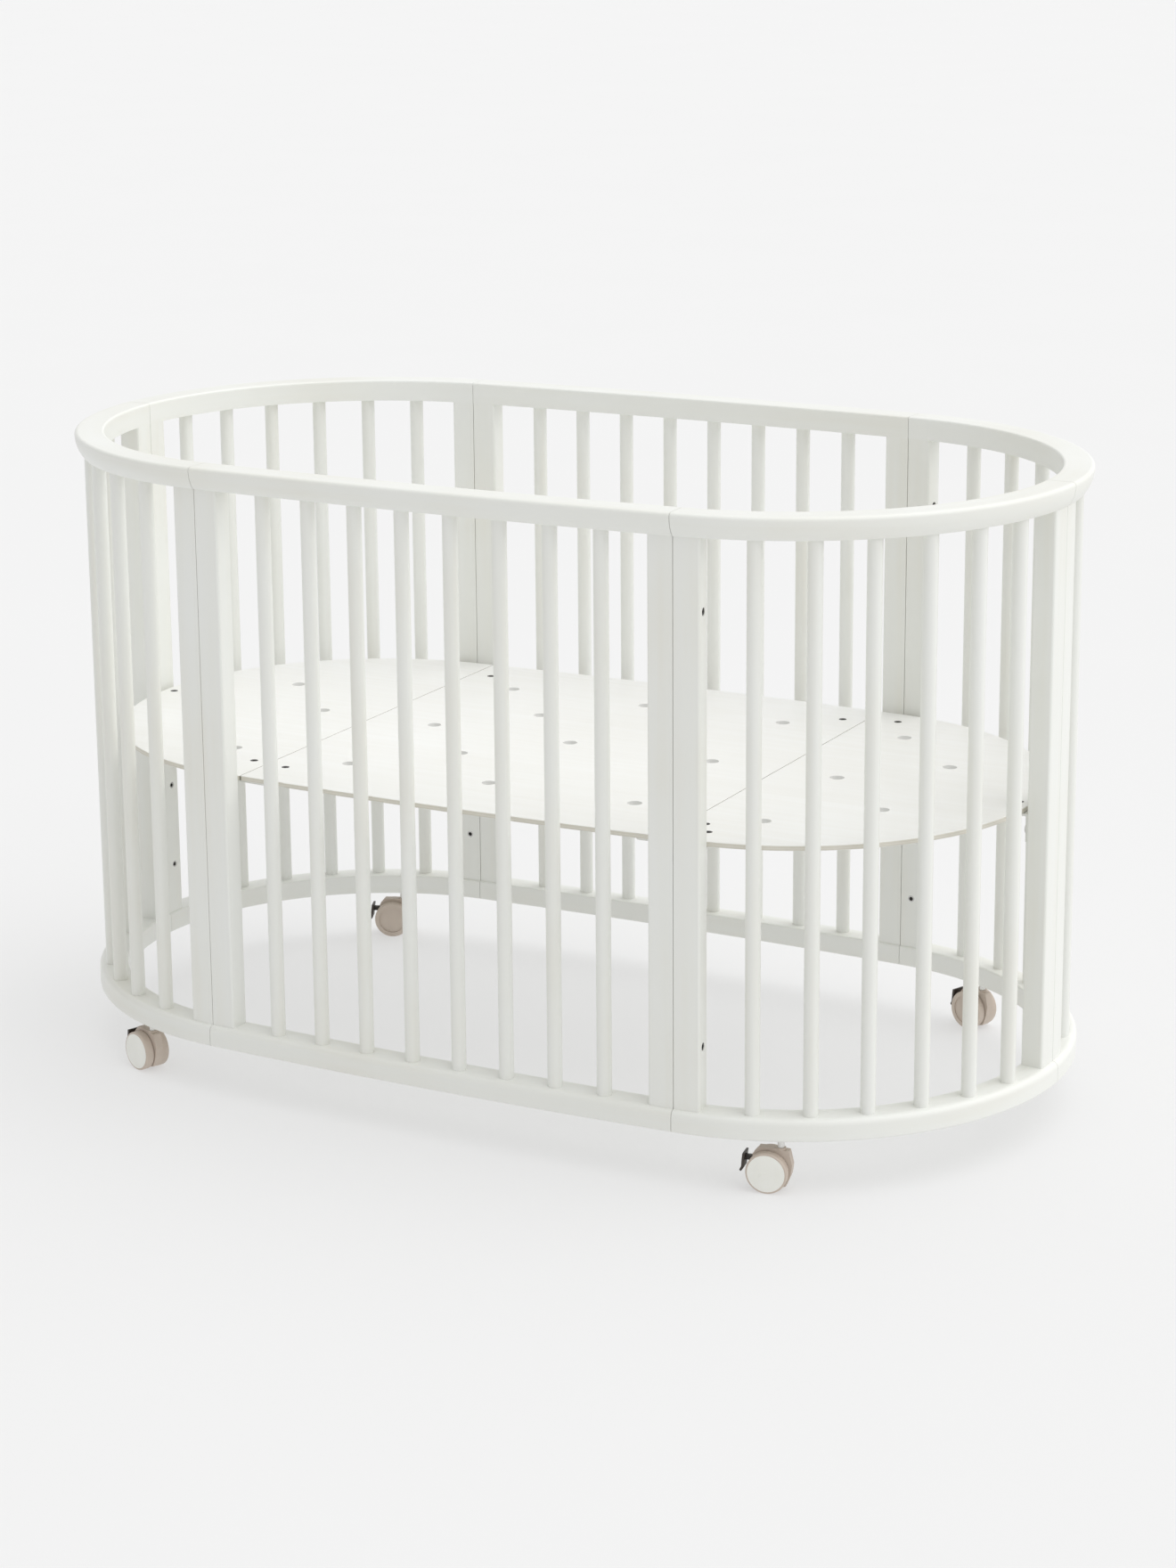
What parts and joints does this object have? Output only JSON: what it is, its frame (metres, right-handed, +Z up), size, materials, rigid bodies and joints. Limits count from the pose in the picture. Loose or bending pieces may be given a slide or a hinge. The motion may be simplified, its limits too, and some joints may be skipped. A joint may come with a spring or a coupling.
{
  "type": "baby crib",
  "caption": "Oval baby crib of bolted slatted panels with a perforated mattress base at mid height, standing on swivel casters with brake levers.",
  "frame": {"origin": "on the floor under the middle of the oval", "axes": "+X the long way of the oval, +Y the depth (front to back), +Z up"},
  "size_m": [1.3336, 0.74, 0.803],
  "materials": {
    "white_lacquered_wood": "satin white lacquer over beech",
    "white_board": "satin white lacquer on thin board with a cream edge",
    "bare_beech": "bare",
    "black_steel": "blackened",
    "zinc_steel": "zinc plated",
    "white_metal": "white powder coat",
    "socket_plastic": "matte",
    "taupe_plastic": "satin taupe",
    "ivory_plastic": "ivory, slightly glossy",
    "dark_brown_plastic": "dark brown satin"
  },
  "bodies": {
    "crib_frame": {"front_side_top_rail": "white_lacquered_wood", "front_side_bottom_rail": "white_lacquered_wood", "front_side_slats": "white_lacquered_wood", "front_side_stiles": "white_lacquered_wood", "back_side_top_rail": "white_lacquered_wood", "back_side_bottom_rail": "white_lacquered_wood", "back_side_slats": "white_lacquered_wood", "back_side_stiles": "white_lacquered_wood", "front_right_quarter_top_rail": "white_lacquered_wood", "front_right_quarter_bottom_rail": "white_lacquered_wood", "front_right_quarter_slats": "white_lacquered_wood", "front_right_quarter_stiles": "white_lacquered_wood", "back_right_quarter_top_rail": "white_lacquered_wood", "back_right_quarter_bottom_rail": "white_lacquered_wood", "back_right_quarter_slats": "white_lacquered_wood", "back_right_quarter_stiles": "white_lacquered_wood", "back_left_quarter_top_rail": "white_lacquered_wood", "back_left_quarter_bottom_rail": "white_lacquered_wood", "back_left_quarter_slats": "white_lacquered_wood", "back_left_quarter_stiles": "white_lacquered_wood", "front_left_quarter_top_rail": "white_lacquered_wood", "front_left_quarter_bottom_rail": "white_lacquered_wood", "front_left_quarter_slats": "white_lacquered_wood", "front_left_quarter_stiles": "white_lacquered_wood", "stile_dowels": "bare_beech", "panel_bolts": "black_steel", "panel_inserts": "zinc_steel", "height_inserts": "zinc_steel", "bracket_bolts": "zinc_steel", "base_brackets": "white_metal", "base_screws": "black_steel", "base_middle_board": "white_board", "base_left_board": "white_board", "base_right_board": "white_board", "caster_stems": "zinc_steel", "caster_sockets": "socket_plastic"},
    "front_left_caster_swivel": {"front_left_caster_body": "taupe_plastic", "front_left_caster_axle": "zinc_steel"},
    "front_left_caster_outer_wheel": {"front_left_caster_outer_wheel": "taupe_plastic", "front_left_caster_disc": "ivory_plastic"},
    "front_left_caster_inner_wheel": {"front_left_caster_inner_wheel": "taupe_plastic"},
    "front_left_caster_brake": {"front_left_caster_brake_lever": "dark_brown_plastic"},
    "front_right_caster_swivel": {"front_right_caster_body": "taupe_plastic", "front_right_caster_axle": "zinc_steel"},
    "front_right_caster_outer_wheel": {"front_right_caster_outer_wheel": "taupe_plastic", "front_right_caster_disc": "ivory_plastic"},
    "front_right_caster_inner_wheel": {"front_right_caster_inner_wheel": "taupe_plastic"},
    "front_right_caster_brake": {"front_right_caster_brake_lever": "dark_brown_plastic"},
    "back_left_caster_swivel": {"back_left_caster_body": "taupe_plastic", "back_left_caster_axle": "zinc_steel"},
    "back_left_caster_outer_wheel": {"back_left_caster_outer_wheel": "taupe_plastic", "back_left_caster_disc": "ivory_plastic"},
    "back_left_caster_inner_wheel": {"back_left_caster_inner_wheel": "taupe_plastic"},
    "back_left_caster_brake": {"back_left_caster_brake_lever": "dark_brown_plastic"},
    "back_right_caster_swivel": {"back_right_caster_body": "taupe_plastic", "back_right_caster_axle": "zinc_steel"},
    "back_right_caster_outer_wheel": {"back_right_caster_outer_wheel": "taupe_plastic", "back_right_caster_disc": "ivory_plastic"},
    "back_right_caster_inner_wheel": {"back_right_caster_inner_wheel": "taupe_plastic"},
    "back_right_caster_brake": {"back_right_caster_brake_lever": "dark_brown_plastic"}
  },
  "joints": [
    {"name": "front_left_swivel", "type": "hinge", "parent": "crib_frame", "child": "front_left_caster_swivel", "pos_m": [-0.44264, -0.31326, 0.06], "axis": [0, 0, 1], "continuous": true},
    {"name": "front_left_outer_wheel_spin", "type": "hinge", "parent": "front_left_caster_swivel", "child": "front_left_caster_outer_wheel", "pos_m": [-0.45571, -0.30824, 0.025], "axis": [-0.3584, -0.9336, 0], "continuous": true},
    {"name": "front_left_inner_wheel_spin", "type": "hinge", "parent": "front_left_caster_swivel", "child": "front_left_caster_inner_wheel", "pos_m": [-0.45571, -0.30824, 0.025], "axis": [-0.3584, -0.9336, 0], "continuous": true},
    {"name": "front_left_brake_lever", "type": "hinge", "parent": "front_left_caster_swivel", "child": "front_left_caster_brake", "pos_m": [-0.46738, -0.30376, 0.0375], "axis": [0.3584, 0.9336, 0], "range_deg": [0, 18]},
    {"name": "front_right_swivel", "type": "hinge", "parent": "crib_frame", "child": "front_right_caster_swivel", "pos_m": [0.44264, -0.31326, 0.06], "axis": [0, 0, 1], "continuous": true},
    {"name": "front_right_outer_wheel_spin", "type": "hinge", "parent": "front_right_caster_swivel", "child": "front_right_caster_outer_wheel", "pos_m": [0.4289, -0.31593, 0.025], "axis": [0.1908, -0.9816, 0], "continuous": true},
    {"name": "front_right_inner_wheel_spin", "type": "hinge", "parent": "front_right_caster_swivel", "child": "front_right_caster_inner_wheel", "pos_m": [0.4289, -0.31593, 0.025], "axis": [0.1908, -0.9816, 0], "continuous": true},
    {"name": "front_right_brake_lever", "type": "hinge", "parent": "front_right_caster_swivel", "child": "front_right_caster_brake", "pos_m": [0.41663, -0.31832, 0.0375], "axis": [-0.1908, 0.9816, 0], "range_deg": [0, 18]},
    {"name": "back_left_swivel", "type": "hinge", "parent": "crib_frame", "child": "back_left_caster_swivel", "pos_m": [-0.44264, 0.31326, 0.06], "axis": [0, 0, 1], "continuous": true},
    {"name": "back_left_outer_wheel_spin", "type": "hinge", "parent": "back_left_caster_swivel", "child": "back_left_caster_outer_wheel", "pos_m": [-0.45553, 0.30779, 0.025], "axis": [0.3907, -0.9205, 0], "continuous": true},
    {"name": "back_left_inner_wheel_spin", "type": "hinge", "parent": "back_left_caster_swivel", "child": "back_left_caster_inner_wheel", "pos_m": [-0.45553, 0.30779, 0.025], "axis": [0.3907, -0.9205, 0], "continuous": true},
    {"name": "back_left_brake_lever", "type": "hinge", "parent": "back_left_caster_swivel", "child": "back_left_caster_brake", "pos_m": [-0.46704, 0.3029, 0.0375], "axis": [-0.3907, 0.9205, 0], "range_deg": [0, 18]},
    {"name": "back_right_swivel", "type": "hinge", "parent": "crib_frame", "child": "back_right_caster_swivel", "pos_m": [0.44264, 0.31326, 0.06], "axis": [0, 0, 1], "continuous": true},
    {"name": "back_right_outer_wheel_spin", "type": "hinge", "parent": "back_right_caster_swivel", "child": "back_right_caster_outer_wheel", "pos_m": [0.42957, 0.31828, 0.025], "axis": [-0.3584, -0.9336, 0], "continuous": true},
    {"name": "back_right_inner_wheel_spin", "type": "hinge", "parent": "back_right_caster_swivel", "child": "back_right_caster_inner_wheel", "pos_m": [0.42957, 0.31828, 0.025], "axis": [-0.3584, -0.9336, 0], "continuous": true},
    {"name": "back_right_brake_lever", "type": "hinge", "parent": "back_right_caster_swivel", "child": "back_right_caster_brake", "pos_m": [0.4179, 0.32276, 0.0375], "axis": [0.3584, 0.9336, 0], "range_deg": [0, 18]}
  ]
}
